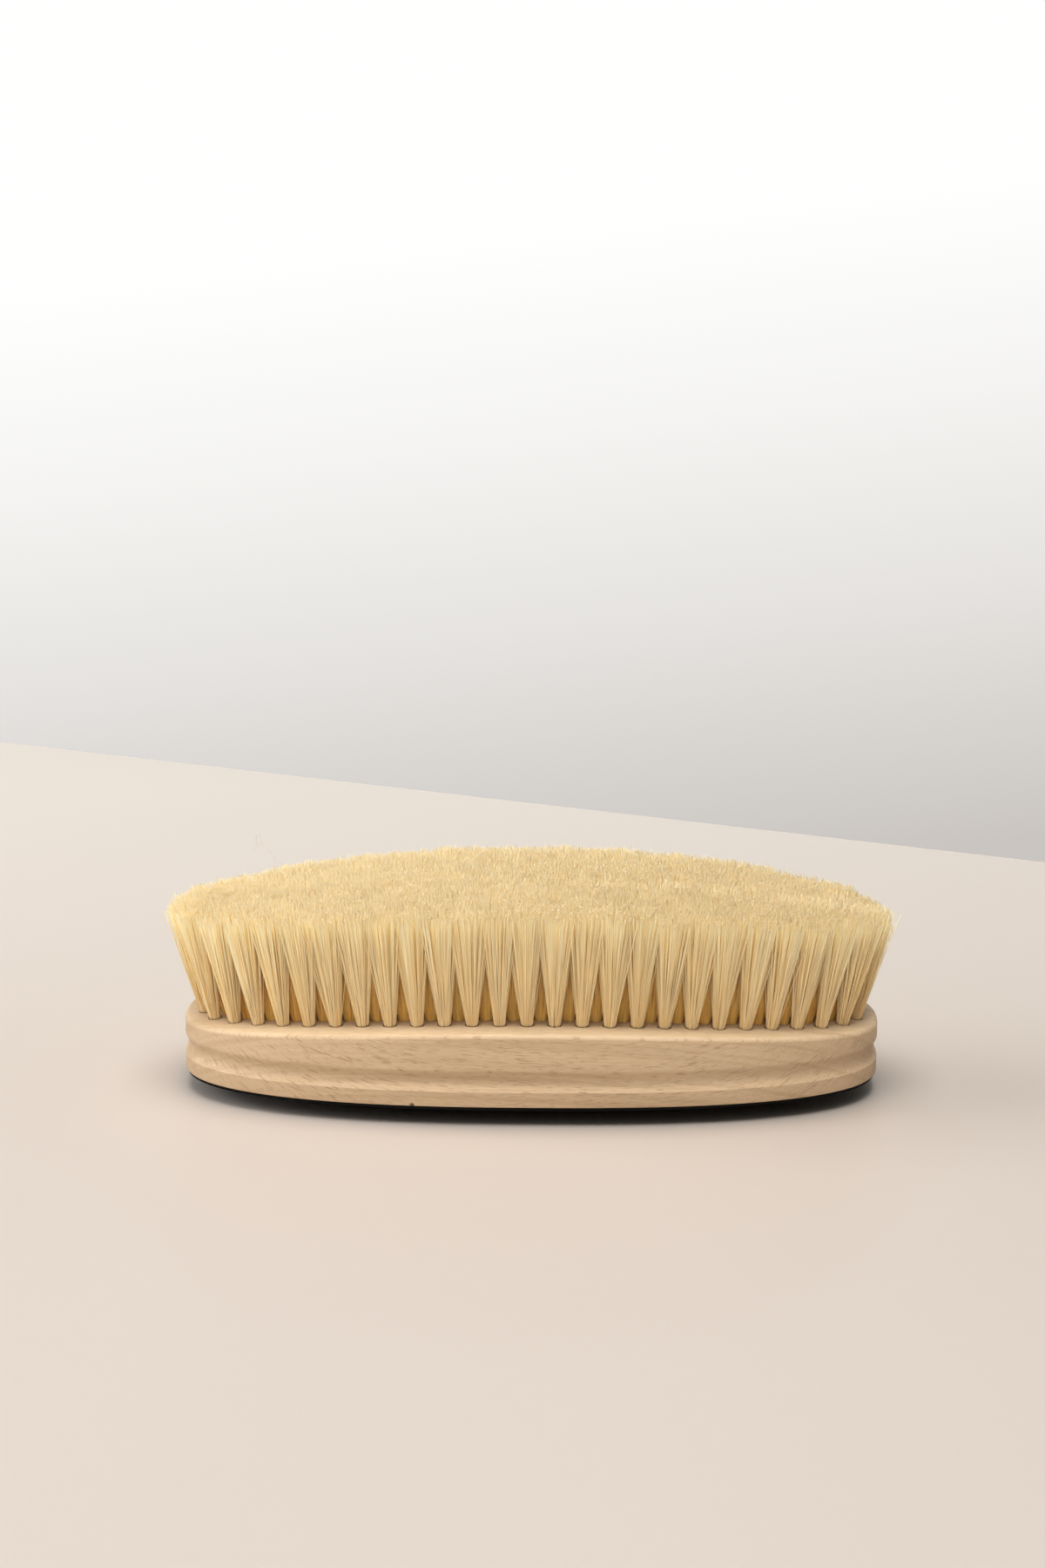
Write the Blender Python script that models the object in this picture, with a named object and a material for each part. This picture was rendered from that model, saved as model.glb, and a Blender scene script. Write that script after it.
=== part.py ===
"""Oval beech brush, drawn by hand, lying on its lacquered back with the bristles up.

The block is one piece of beech with a finger groove round its side and a domed face. It is drilled
right through with rings of leaning holes. Each tuft is folded in half over a wire at the back of the
block and drawn up through its hole, so it stands as two legs. The folds of one ring are fused to a
thin strip of backing, and the ring's wire runs round under it. Strips and wires lie in a shallow
recess in the block's back, and a domed back cover closes it.

Lengths are in metres. +X runs along the brush, +Z up, and z is 0 at the flat land of the back.
"""

import math

import bmesh
import bpy
from mathutils import Matrix, Vector

# Block
BLOCK_LENGTH = 0.2000
BLOCK_WIDTH = 0.0746
OUTLINE_POWER = 2.45
BLOCK_HEIGHT = 0.0216
FACE_DOME = 0.0060
FACE_ROUNDING = 0.0012
LIP_HEIGHT = 0.0048
GROOVE_HEIGHT = 0.0062
GROOVE_DEPTH = 0.0010
LOWER_EDGE_EASING = 0.0004
RECESS_DEPTH = 0.0022
RECESS_MARGIN = 0.0025

# Back cover
COVER_HEIGHT = 0.0052
COVER_INSET = 0.0006
COVER_RIM = 0.0006
COVER_DOME_POWER = 3.0
LAND_SHARE = 0.40
SEAT_GAP = 0.0003

# Tufts
END_MARGIN = 0.0058
SIDE_MARGIN = 0.0093
RING_POWER = 2.33
RING_SPACING = 0.0054
MIDDLE_SHARE = 0.2
TUFT_PITCH = 0.0077
FIRST_TUFT_SHARE = -0.15
ROW_SHARE = 0.72
TUFT_LENGTH = 0.0350
END_LEAN = math.radians(18.0)
SIDE_LEAN = math.radians(13.0)
LEG_RADIUS_AT_FOLD = 0.00030
LEG_RADIUS_AT_TIP = 0.00180
LEG_OFFSET_AT_FOLD = 0.00042
LEG_OFFSET_AT_TIP = 0.00190
HOLE_CLEARANCE = 0.00035
STRIP_WIDTH = 0.0016
STRIP_HEIGHT = 0.0008
WIRE_DIAMETER = 0.0005
WIRE_CLEARANCE = 0.0003

# Fineness of the meshes
OUTLINE_POINTS = 64
RECESS_POINTS = 32
GROOVE_STEPS = 4
ROUNDING_STEPS = 2
DOME_STEPS = 5
HOLE_SIDES = 6
LEG_SIDES = 3
PATH_SAMPLES = 1440

# How far cutters run past what they cut
OVERRUN = 0.0010

# Heights worked out from the sizes above
BLOCK_BASE = COVER_HEIGHT + SEAT_GAP
RECESS_ROOF = BLOCK_BASE + RECESS_DEPTH
WIRE_AXIS = BLOCK_BASE + WIRE_DIAMETER / 2
STRIP_BASE = BLOCK_BASE + WIRE_DIAMETER + WIRE_CLEARANCE
STRIP_TOP = STRIP_BASE + STRIP_HEIGHT
OUTER_RING_HALF_LENGTH = BLOCK_LENGTH / 2 - END_MARGIN
OUTER_RING_HALF_WIDTH = BLOCK_WIDTH / 2 - SIDE_MARGIN
RING_COUNT = int(OUTER_RING_HALF_WIDTH / RING_SPACING)
RING_GAP = OUTER_RING_HALF_WIDTH / (RING_COUNT + MIDDLE_SHARE)


def clear_scene():
    for item in list(bpy.data.objects):
        bpy.data.objects.remove(item, do_unlink=True)


def make_collection(name):
    collection = bpy.data.collections.new(name)
    bpy.context.scene.collection.children.link(collection)
    return collection


def make_material(name, colour, roughness, metallic=0.0):
    material = bpy.data.materials.new(name)
    material.use_nodes = True
    shader = material.node_tree.nodes["Principled BSDF"]
    shader.inputs["Base Color"].default_value = (*colour, 1.0)
    shader.inputs["Roughness"].default_value = roughness
    shader.inputs["Metallic"].default_value = metallic
    material.diffuse_color = (*colour, 1.0)
    return material


def object_from_bmesh(name, shape, collection, material=None):
    bmesh.ops.recalc_face_normals(shape, faces=shape.faces)
    mesh = bpy.data.meshes.new(name)
    shape.to_mesh(mesh)
    shape.free()
    item = bpy.data.objects.new(name, mesh)
    collection.objects.link(item)
    if material:
        mesh.materials.append(material)
    return item


def mark_as_cutter(item):
    item.hide_render = True
    item.display_type = "WIRE"


def add_boolean(item, cutter, operation):
    modifier = item.modifiers.new(operation.lower(), "BOOLEAN")
    modifier.operation = operation
    modifier.object = cutter
    modifier.solver = "EXACT"


def oval_point(half_length, half_width, power, angle):
    """Point of the oval |x/a|^n + |y/b|^n = 1 at a turn angle."""
    cosine = math.cos(angle)
    sine = math.sin(angle)
    x = half_length * math.copysign(abs(cosine) ** (2 / power), cosine)
    y = half_width * math.copysign(abs(sine) ** (2 / power), sine)
    return Vector((x, y, 0))


def oval_normal(half_length, half_width, power, point):
    """Outward normal of the oval at one of its points."""
    x = math.copysign(abs(point.x / half_length) ** (power - 1), point.x) / half_length
    y = math.copysign(abs(point.y / half_width) ** (power - 1), point.y) / half_width
    return Vector((x, y, 0)).normalized()


def block_outline(inset, count=OUTLINE_POINTS):
    """Points of the block's oval, moved inward by an inset."""
    half_length = BLOCK_LENGTH / 2
    half_width = BLOCK_WIDTH / 2
    points = []
    for step in range(count):
        point = oval_point(half_length, half_width, OUTLINE_POWER, math.tau * step / count)
        normal = oval_normal(half_length, half_width, OUTLINE_POWER, point)
        points.append(point - inset * normal)
    return points


def face_height(x):
    """Height of the domed bristle face: it falls from the middle towards both ends."""
    share = x / (BLOCK_LENGTH / 2)
    return BLOCK_BASE + BLOCK_HEIGHT - FACE_DOME * share * share


def loft(sections, name, collection, material=None):
    """Closed solid through rings of points: a side wall, a flat base and a top in crosswise strips."""
    shape = bmesh.new()
    rings = [[shape.verts.new(point) for point in section] for section in sections]
    count = len(rings[0])
    for lower, upper in zip(rings, rings[1:]):
        for step in range(count):
            after = (step + 1) % count
            shape.faces.new((lower[step], lower[after], upper[after], upper[step]))
    shape.faces.new(reversed(rings[0]))
    top = rings[-1]
    half = count // 2
    shape.faces.new((top[0], top[1], top[count - 1]))
    for step in range(1, half - 1):
        shape.faces.new((top[step], top[step + 1], top[count - step - 1], top[count - step]))
    shape.faces.new((top[half - 1], top[half], top[half + 1]))
    return object_from_bmesh(name, shape, collection, material)


def groove_sections():
    """Rings of the finger groove: an arc of GROOVE_DEPTH over GROOVE_HEIGHT, above the lip."""
    half_chord = GROOVE_HEIGHT / 2
    radius = (half_chord ** 2 + GROOVE_DEPTH ** 2) / (2 * GROOVE_DEPTH)
    opening = math.asin(half_chord / radius)
    middle = BLOCK_BASE + LIP_HEIGHT + half_chord
    sections = []
    for step in range(GROOVE_STEPS + 1):
        angle = opening * (2 * step / GROOVE_STEPS - 1)
        inset = radius * math.cos(angle) - (radius - GROOVE_DEPTH)
        height = middle + radius * math.sin(angle)
        sections.append([point + Vector((0, 0, height)) for point in block_outline(inset)])
    return sections


def rounding_sections():
    """Rings of the rounded edge between the side and the domed face."""
    sections = []
    for step in range(ROUNDING_STEPS + 1):
        angle = math.pi / 2 * step / ROUNDING_STEPS
        inset = FACE_ROUNDING * (1 - math.cos(angle))
        drop = FACE_ROUNDING * (1 - math.sin(angle))
        ring = block_outline(inset)
        sections.append([point + Vector((0, 0, face_height(point.x) - drop)) for point in ring])
    return sections


def make_block(parts, cutters, material, tufts):
    """Beech block with lip, finger groove, domed face, wire recess and one hole a tuft."""
    base = Vector((0, 0, BLOCK_BASE))
    eased = Vector((0, 0, BLOCK_BASE + LOWER_EDGE_EASING))
    sections = [[point + base for point in block_outline(LOWER_EDGE_EASING)]]
    sections.append([point + eased for point in block_outline(0)])
    sections += groove_sections()
    sections += rounding_sections()
    block = loft(sections, "drilled_block", parts, material)
    add_boolean(block, make_recess_cutter(cutters), "DIFFERENCE")
    add_boolean(block, make_hole_cutters(cutters, tufts), "DIFFERENCE")
    return block


def recess_outline():
    """Oval round the outer ring's strip, wide enough to clear it by the margin."""
    reach = STRIP_TOP - face_height(OUTER_RING_HALF_LENGTH)
    half_length = OUTER_RING_HALF_LENGTH + reach * math.tan(END_LEAN) + RECESS_MARGIN
    reach = STRIP_TOP - face_height(0)
    half_width = OUTER_RING_HALF_WIDTH + reach * math.tan(SIDE_LEAN) + RECESS_MARGIN
    angles = [math.tau * step / RECESS_POINTS for step in range(RECESS_POINTS)]
    return [oval_point(half_length, half_width, RING_POWER, angle) for angle in angles]


def make_recess_cutter(cutters):
    lower = Vector((0, 0, BLOCK_BASE - OVERRUN))
    upper = Vector((0, 0, RECESS_ROOF))
    outline = recess_outline()
    sections = [[point + lower for point in outline], [point + upper for point in outline]]
    cutter = loft(sections, "recess_cutter", cutters)
    mark_as_cutter(cutter)
    return cutter


def ring_path(number):
    """Closed path of a ring's tufts on the block's face, seen from above, as even fine samples."""
    half_length = OUTER_RING_HALF_LENGTH - number * RING_GAP
    half_width = OUTER_RING_HALF_WIDTH - number * RING_GAP
    points = []
    for step in range(PATH_SAMPLES + 1):
        angle = math.tau * step / PATH_SAMPLES - math.pi / 2
        points.append(oval_point(half_length, half_width, RING_POWER, angle))
    return points


def spaced_along(path, count, first_share):
    """Points at even steps along a closed path, the first one a share of a step past its start."""
    travelled = [0.0]
    for near, far in zip(path, path[1:]):
        travelled.append(travelled[-1] + (far - near).length)
    total = travelled[-1]
    places = []
    for step in range(count):
        target = (step + first_share) / count * total % total
        index = next(i for i, distance in enumerate(travelled) if distance > target)
        near, far = path[index - 1], path[index]
        share = (target - travelled[index - 1]) / (travelled[index] - travelled[index - 1])
        places.append(near.lerp(far, share))
    return places


def path_length(path):
    return sum((far - near).length for near, far in zip(path, path[1:]))


def tuft_direction(place):
    """Direction of a tuft: upright in the middle, leaning out towards the ends and sides."""
    lean_x = math.tan(END_LEAN) * place.x / OUTER_RING_HALF_LENGTH
    lean_y = math.tan(SIDE_LEAN) * place.y / OUTER_RING_HALF_WIDTH
    return Vector((lean_x, lean_y, 1)).normalized()


def make_tuft(place, tangent):
    """A tuft's axis: its points at the fold, the face and the tips, and the way its legs part."""
    direction = tuft_direction(place)
    face = Vector((place.x, place.y, face_height(place.x)))
    fold = face - direction * (face.z - STRIP_TOP) / direction.z
    tip = face + direction * TUFT_LENGTH
    across = (tangent - direction * tangent.dot(direction)).normalized()
    return {"fold": fold, "face": face, "tip": tip, "direction": direction, "across": across}


def ring_tufts(number):
    """Tufts of one ring; each ring stands half a pitch round from the one outside it."""
    path = ring_path(number)
    count = 2 * round(path_length(path) / TUFT_PITCH / 2)
    stagger = (number % 2) / 2
    places = spaced_along(path, count, FIRST_TUFT_SHARE + stagger)
    tufts = []
    for step, place in enumerate(places):
        tangent = places[(step + 1) % count] - places[step - 1]
        tufts.append(make_tuft(place, tangent))
    return tufts


def centre_row_tufts():
    """Straight row of tufts along the middle, inside the last ring."""
    last_ring_half_length = OUTER_RING_HALF_LENGTH - (RING_COUNT - 1) * RING_GAP
    half_length = ROW_SHARE * last_ring_half_length
    count = round(2 * half_length / TUFT_PITCH) + 1
    along = Vector((1, 0, 0))
    tufts = []
    for step in range(count):
        x = half_length * (2 * step / (count - 1) - 1)
        tufts.append(make_tuft(Vector((x, 0, 0)), along))
    return tufts


def leg_radius(height_share):
    return LEG_RADIUS_AT_FOLD + (LEG_RADIUS_AT_TIP - LEG_RADIUS_AT_FOLD) * height_share


def leg_offset(height_share):
    return LEG_OFFSET_AT_FOLD + (LEG_OFFSET_AT_TIP - LEG_OFFSET_AT_FOLD) * height_share


def hole_radius(height_share):
    """Radius that a hole needs for both legs of its tuft and their clearance."""
    corner_gap = HOLE_CLEARANCE / math.sin(math.pi / 2 - math.pi / HOLE_SIDES)
    return leg_offset(height_share) + leg_radius(height_share) + corner_gap


def pointing_frame(origin, axis, across):
    """Matrix with +Z along the axis and +Y along the across direction."""
    side = across.cross(axis).normalized()
    level = axis.cross(side).normalized()
    matrix = Matrix((side, level, axis)).transposed().to_4x4()
    matrix.translation = origin
    return matrix


def make_hole_cutters(cutters, tufts):
    """One tapered cutter a tuft, from inside the recess to above the face, joined in one mesh."""
    shape = bmesh.new()
    for tuft in tufts:
        whole = (tuft["tip"] - tuft["fold"]).length
        start = tuft["fold"]
        end = tuft["face"] + tuft["direction"] * 2 * OVERRUN
        depth = (end - start).length
        matrix = pointing_frame((start + end) / 2, tuft["direction"], tuft["across"])
        bmesh.ops.create_cone(shape, cap_ends=True, segments=HOLE_SIDES, radius1=hole_radius(0),
                              radius2=hole_radius(depth / whole), depth=depth, matrix=matrix)
    cutter = object_from_bmesh("tuft_hole_cutters", shape, cutters)
    mark_as_cutter(cutter)
    return cutter


def make_legs(name, tufts, cutters):
    """Both legs of every tuft in a ring, rooted in the middle of the strip's height."""
    shape = bmesh.new()
    for tuft in tufts:
        for side in (-1, 1):
            start = tuft["fold"] + tuft["across"] * side * LEG_OFFSET_AT_FOLD
            end = tuft["tip"] + tuft["across"] * side * LEG_OFFSET_AT_TIP
            axis = (end - start).normalized()
            start = start - axis * STRIP_HEIGHT / 2
            matrix = pointing_frame((start + end) / 2, axis, tuft["across"] * side)
            bmesh.ops.create_cone(shape, cap_ends=True, segments=LEG_SIDES,
                                  radius1=LEG_RADIUS_AT_FOLD, radius2=LEG_RADIUS_AT_TIP,
                                  depth=(end - start).length, matrix=matrix)
    legs = object_from_bmesh(name + "_legs", shape, cutters)
    mark_as_cutter(legs)
    return legs


def fold_places(tufts, closed):
    """Places of the folds in order, with a short run on past both ends of a row."""
    places = [tuft["fold"] for tuft in tufts]
    if not closed:
        reach = Vector((STRIP_WIDTH, 0, 0))
        places = [places[0] - reach] + places + [places[-1] + reach]
    return places


def make_wire(name, tufts, closed, parts, material):
    """Drawing wire of a ring or row, lying in the recess just under the strip of folds."""
    places = fold_places(tufts, closed)
    curve = bpy.data.curves.new(name, "CURVE")
    curve.dimensions = "3D"
    curve.bevel_depth = WIRE_DIAMETER / 2
    curve.bevel_resolution = 0
    curve.use_fill_caps = True
    spline = curve.splines.new("POLY")
    spline.points.add(len(places) - 1)
    for point, place in zip(spline.points, places):
        point.co = (place.x, place.y, WIRE_AXIS, 1)
    spline.use_cyclic_u = closed
    curve.materials.append(material)
    wire = bpy.data.objects.new(name, curve)
    parts.objects.link(wire)
    return wire


def strip_section(place, sideways):
    """Four corners of the strip's cross-section at one place."""
    half = sideways * STRIP_WIDTH / 2
    top = Vector((place.x, place.y, STRIP_TOP))
    base = Vector((place.x, place.y, STRIP_BASE))
    return [base - half, base + half, top + half, top - half]


def make_tuft_group(name, tufts, closed, parts, cutters, material):
    """The tufts of a ring or row, fused at their folds to a strip of backing."""
    places = fold_places(tufts, closed)
    count = len(places)
    shape = bmesh.new()
    rings = []
    for step, place in enumerate(places):
        after = places[(step + 1) % count] if closed else places[min(step + 1, count - 1)]
        before = places[step - 1] if closed else places[max(step - 1, 0)]
        along = after - before
        sideways = Vector((along.y, -along.x, 0)).normalized()
        rings.append([shape.verts.new(corner) for corner in strip_section(place, sideways)])
    pairs = list(zip(rings, rings[1:]))
    if closed:
        pairs.append((rings[-1], rings[0]))
    for near, far in pairs:
        for corner in range(4):
            after = (corner + 1) % 4
            shape.faces.new((near[corner], near[after], far[after], far[corner]))
    if not closed:
        shape.faces.new(rings[0])
        shape.faces.new(reversed(rings[-1]))
    group = object_from_bmesh(name, shape, parts, material)
    add_boolean(group, make_legs(name, tufts, cutters), "UNION")
    return group


def make_cover(parts, material):
    """Lacquered back: flat against the block, a thin upright rim, then a dome down to a flat land."""
    top = Vector((0, 0, COVER_HEIGHT))
    rim = Vector((0, 0, COVER_HEIGHT - COVER_RIM))
    outline = block_outline(COVER_INSET)
    sections = []
    for step in range(DOME_STEPS + 1):
        share = LAND_SHARE + (1 - LAND_SHARE) * step / DOME_STEPS
        rise = (share - LAND_SHARE) / (1 - LAND_SHARE)
        height = rim.z * rise ** COVER_DOME_POWER
        sections.append([point * share + Vector((0, 0, height)) for point in outline])
    sections.append([point + top for point in outline])
    return loft(sections, "back_cover", parts, material)


def build_brush():
    clear_scene()
    parts = make_collection("oval_brush")
    cutters = make_collection("cutters")
    beech = make_material("beech", (0.62, 0.44, 0.27), 0.55)
    lacquer = make_material("black_lacquer", (0.012, 0.011, 0.010), 0.35)
    bristle = make_material("cream_bristle", (0.66, 0.53, 0.30), 0.60)
    steel = make_material("steel_wire", (0.55, 0.54, 0.52), 0.35, 1.0)
    groups = {f"ring_{number + 1}": ring_tufts(number) for number in range(RING_COUNT)}
    groups["centre_row"] = centre_row_tufts()
    all_tufts = [tuft for tufts in groups.values() for tuft in tufts]
    make_cover(parts, lacquer)
    make_block(parts, cutters, beech, all_tufts)
    for name, tufts in groups.items():
        closed = name != "centre_row"
        make_tuft_group(f"tuft_{name}", tufts, closed, parts, cutters, bristle)
        make_wire(f"drawing_wire_{name}", tufts, closed, parts, steel)


build_brush()
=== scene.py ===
"""Looks of the oval beech brush: bare beech, black lacquered back, cream bristles in drawn tufts."""

import math

import bmesh
import bpy
import numpy as np
from mathutils import Matrix, Quaternion, Vector


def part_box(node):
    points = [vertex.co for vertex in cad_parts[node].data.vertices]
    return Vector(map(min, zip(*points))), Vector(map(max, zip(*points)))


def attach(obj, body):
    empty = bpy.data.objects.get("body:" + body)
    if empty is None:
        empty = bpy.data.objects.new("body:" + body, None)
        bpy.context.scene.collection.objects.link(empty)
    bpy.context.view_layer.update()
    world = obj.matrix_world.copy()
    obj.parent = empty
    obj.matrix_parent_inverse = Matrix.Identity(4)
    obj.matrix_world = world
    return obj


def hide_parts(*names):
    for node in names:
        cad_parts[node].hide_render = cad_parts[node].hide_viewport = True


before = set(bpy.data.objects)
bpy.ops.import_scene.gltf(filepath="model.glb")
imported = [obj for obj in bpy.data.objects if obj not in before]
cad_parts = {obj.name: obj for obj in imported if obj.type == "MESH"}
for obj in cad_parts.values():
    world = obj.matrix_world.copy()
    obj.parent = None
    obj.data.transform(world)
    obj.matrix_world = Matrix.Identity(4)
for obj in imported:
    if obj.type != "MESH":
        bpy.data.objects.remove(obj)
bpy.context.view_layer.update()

# Sizes read from the frame
BLOCK_LOW, BLOCK_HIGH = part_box("drilled_block")
BACK_LOW, BACK_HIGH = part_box("back_cover")
WIRE_LOW, WIRE_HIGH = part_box("drawing_wire_ring_1")
HALF_LENGTH = (BLOCK_HIGH.x - BLOCK_LOW.x) / 2
HALF_WIDTH = (BLOCK_HIGH.y - BLOCK_LOW.y) / 2
BASE = BLOCK_LOW.z
FACE_TOP = BLOCK_HIGH.z

# The block's shape: the construction's sizes, an easing for the ridge and the recess's reach past the wires
OUTLINE_POWER = 2.45
FACE_DOME = 0.0060
FACE_ROUNDING = 0.0012
LIP_HEIGHT = 0.0048
GROOVE_HEIGHT = 0.0062
GROOVE_DEPTH = 0.0010
LOWER_EDGE_EASING = 0.0004
RIDGE_EASING = 0.00025
RECESS_DEPTH = 0.0022
RECESS_REACH = 0.0022

# The tufts' pattern, as in the construction but for the leans: a fanned tuft's own middle leans less
END_MARGIN = 0.0058
SIDE_MARGIN = 0.0093
RING_POWER = 2.33
RING_SPACING = 0.0054
MIDDLE_SHARE = 0.2
TUFT_PITCH = 0.0077
FIRST_TUFT_SHARE = -0.15
ROW_SHARE = 0.72
TUFT_LENGTH = 0.0350
END_LEAN = math.radians(9.2)
SIDE_LEAN = math.radians(5.8)
RING_HALF_LENGTH = HALF_LENGTH - END_MARGIN
RING_HALF_WIDTH = HALF_WIDTH - SIDE_MARGIN
RING_COUNT = int(RING_HALF_WIDTH / RING_SPACING)
RING_GAP = RING_HALF_WIDTH / (RING_COUNT + MIDDLE_SHARE)

# The back's rim and dome, as in the construction, and the gap left under the block
BACK_RIM = 0.0006
BACK_LAND_SHARE = 0.40
BACK_DOME_POWER = 3.0
BACK_SEAT_GAP = 0.00003

# Fineness of the visible meshes, and the angles above which an edge stays sharp
OUTLINE_POINTS = 288
GROOVE_STEPS = 14
ROUNDING_STEPS = 6
EASING_STEPS = 3
DOME_STEPS = 24
HOLE_SIDES = 24
RECESS_POINTS = 96
PATH_SAMPLES = 1440
BLOCK_SMOOTH_ANGLE = math.radians(24)
BACK_SMOOTH_ANGLE = math.radians(35)

# The tufts' holes, and how far every cutter reaches past the wood
HOLE_RADIUS = 0.00205
HOLE_DEPTH = 0.0050
OVERRUN = 0.0010

# A small dark nick in the lip's lower edge, and how far round it the wood is coloured darker
NICK_X = -0.0335
NICK_RISE = 0.0003
NICK_SIZE = (0.00080, 0.00045, 0.00050)
NICK_DARK_REACH = 1.5 * max(NICK_SIZE)

# Directions of the beech's grain: the rays' rise from front to back, and the fibre's fall along the block
GRAIN_TURN = math.radians(57)
GRAIN_SLOPE = math.radians(2.5)

# One hair: its sections by share of its length, its thickness, its depth in the hole and its faces' turn
HAIR_STEPS = (0, 0.12, 1)
HAIR_SIDES = 3
HAIR_RADIUS = 0.000135
HAIR_RADIUS_SPREAD = (0.75, 1.2)
HAIR_TIP_SHARE = 0.90
HAIR_ROOT = 0.0040
HAIR_TURN = 0.5

# A tuft's hairs: how they fill its circle, fan out, curl and stray
HAIRS_IN_TUFT = 257
SPREAD_POWER = 0.44
BUNDLE_RADIUS = 0.00160
FLARE_SHARE = 2.25
FLARE_POWER = 0.90
CURL_AT_TIP = 0.0004
LEAN_AT_TIP = 0.0010
OUTER_STRAYS = 0.025
INNER_STRAYS = 0.005
STRAY_AT_TIP = 0.0030
HAIR_SEED = 41

# The trimmed surface: its height, its fall to the ends and the rim, its rise at the left and its unevenness
TRIM_HEIGHT = BASE + 0.0552
TRIM_FALL = 0.0085
TRIM_REACH = 0.1050
TRIM_SIDE_REACH = 0.0375
TRIM_RIM_FALL = 0.0008
TRIM_RIM_POWER = 5
TRIM_RIM_LIMIT = 1.3
TRIM_LEFT_RISE = 0.0018
TRIM_LEFT_START = 0.84
TRIM_JITTER = 0.00040
TUFT_JITTER = 0.00022
TRIM_PASSES = 2

# Where a hair's faces lie in its cell of the bake's layout
STRIP_ASPECT = 3.0
STRIP_FILL = 0.92
CAP_LOW = 0.05
CAP_HIGH = 0.35
CAP_SHIFT = 0.55

# One loose fibre that curls over the far edge: its root, its upward direction and its route in that plane
FIBRE_ROOT = (-0.0742, 0.0262, 0.0560)
FIBRE_UP = (0, 0.88, 0.475)
FIBRE_RADIUS = 0.00005
FIBRE_ROUTE = [(0, -0.0020), (-0.0010, 0.0034), (-0.0026, 0.0070), (-0.0056, 0.0096), (-0.0063, 0.0120),
               (-0.0060, 0.0142), (-0.0074, 0.0138), (-0.0076, 0.0112), (-0.0062, 0.0094), (-0.0078, 0.0070)]

# Colours along a hair of the outer ring, from its foot in the hole to its tip: the dark foot is painted
# shade in the hole
OUTER_TONES_AND_FOOT_SHADE = [(0.102, (0.24, 0.15, 0.07)), (0.122, (0.87, 0.66, 0.34)), (0.55, (0.98, 0.81, 0.44)),
               (0.95, (0.99, 0.88, 0.55)), (1.0, (0.92, 0.79, 0.50))]
# The deeper rings' colours: a more golden copy of the bristle, painted light for the glow bounced between
# the tufts
INNER_PAINTED_GLOW_TONES = [(0.10, (0.99, 0.64, 0.16)), (0.60, (0.99, 0.75, 0.27)), (0.95, (0.98, 0.85, 0.52)),
               (1.0, (0.91, 0.785, 0.50))]

# The beech's figures, by their sizes along the fibre, outward and round the log
DRIFT_SIZES = (0.040, 0.012, 0.012)
BROAD_SIZES = (0.120, 0.014, 0.020)
GROWTH_SIZES = (0.090, 0.0016, 0.030)
GRAIN_SIZES = (0.0050, 0.00035, 0.00030)
RAY_SIZES = (0.0036, 0.0070, 0.00018)

# The beech's colours, and the shades that multiply them
BEECH_TONES = [(0.32, (0.545, 0.383, 0.231)), (0.68, (0.618, 0.444, 0.275))]
GROWTH_SHADES = [(0.36, (0.90, 0.875, 0.84)), (0.52, (1.0, 1.0, 1.0)), (0.66, (1.03, 1.03, 1.03))]
GRAIN_SHADES = [(0.34, (0.93, 0.92, 0.90)), (0.66, (1.05, 1.05, 1.05))]
# Painted light: faces that turn upward, the bristle face and its rounded edge, are made lighter
PAINTED_TOP_LIGHT_SHADES = [(0.45, (1.0, 1.0, 1.0)), (0.80, (0.97, 1.01, 1.02)), (0.96, (1.06, 1.11, 1.12))]
RAY_COLOUR = (0.37, 0.225, 0.125)
NICK_DARK_COLOUR = (0.10, 0.065, 0.040)

# The other surfaces' colours, and the turns a metre of their patterns
LACQUER_TONES = [(0.3, (0.0030, 0.0025, 0.0020)), (0.7, (0.0042, 0.0035, 0.0028))]
LACQUER_RIPPLE = (60, 200, 200)
HAIR_SHADES = [(0.0, (0.95, 0.92, 0.85)), (0.5, (1.0, 1.0, 1.0)), (0.95, (1.0, 1.05, 1.20))]
CLUMP_SHADES = [(0.35, (0.93, 0.925, 0.91)), (0.65, (1.0, 1.0, 1.0))]
CLUMP_RATE = (220, 420, 60)
FIBRE_TONES = [(0.3, (0.40, 0.33, 0.25)), (0.7, (0.55, 0.46, 0.34))]
FIBRE_RATE = (400, 400, 400)
STEEL_TONES = [(0.3, (0.50, 0.49, 0.47)), (0.7, (0.62, 0.61, 0.59))]
STEEL_RATE = (900, 900, 900)
BUMP_DISTANCE = 0.00005

# The photograph's frame and the camera that it was taken from
PHOTO_WIDTH = 1200
PHOTO_HEIGHT = 1800
SENSOR = 36.0
FOCAL_PIXELS = 4733.0
CAMERA_DISTANCE = 1.2
CAMERA_ELEVATION = math.radians(20.0)
CAMERA_ROLL = 0.007
CAMERA_CLIP = (0.05, 20)
BASE_PIXEL = (612.0, 1220.2)

# The table: its back edge on its own plane, its reach beyond that edge, and its tones from front to back,
# the lighter back a painted sheen
TABLE_EDGE_LEFT = (-0.2005, 0.3645)
TABLE_EDGE_RIGHT = (0.1754, 0.2207)
TABLE_REACH = 3.0
TABLE_EDGE_ROUNDING = 0.002
TABLE_THICKNESS = 0.03
TABLE_TONE_REACH = 0.6
TABLE_TONES_AND_SHEEN = [(0.0, (0.805, 0.705, 0.625)), (0.5, (0.737, 0.645, 0.565)), (1.0, (0.865, 0.785, 0.698))]
TABLE_MOTTLE_RATE = (3, 3, 3)

# The backdrop: its half width, its distance, and its fade from grey up to white
BACKDROP_REACH = 4.0
BACKDROP_DISTANCE = 3.0
BACKDROP_LOW = -0.90
BACKDROP_HIGH = -0.20
BACKDROP_TILT = 0.127
BACKDROP_TONES = [(0.0, (0.585, 0.555, 0.530)), (0.40, (0.785, 0.763, 0.740)), (0.71, (0.910, 0.903, 0.887)),
                  (1.0, (1.0, 1.0, 0.995))]

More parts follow.
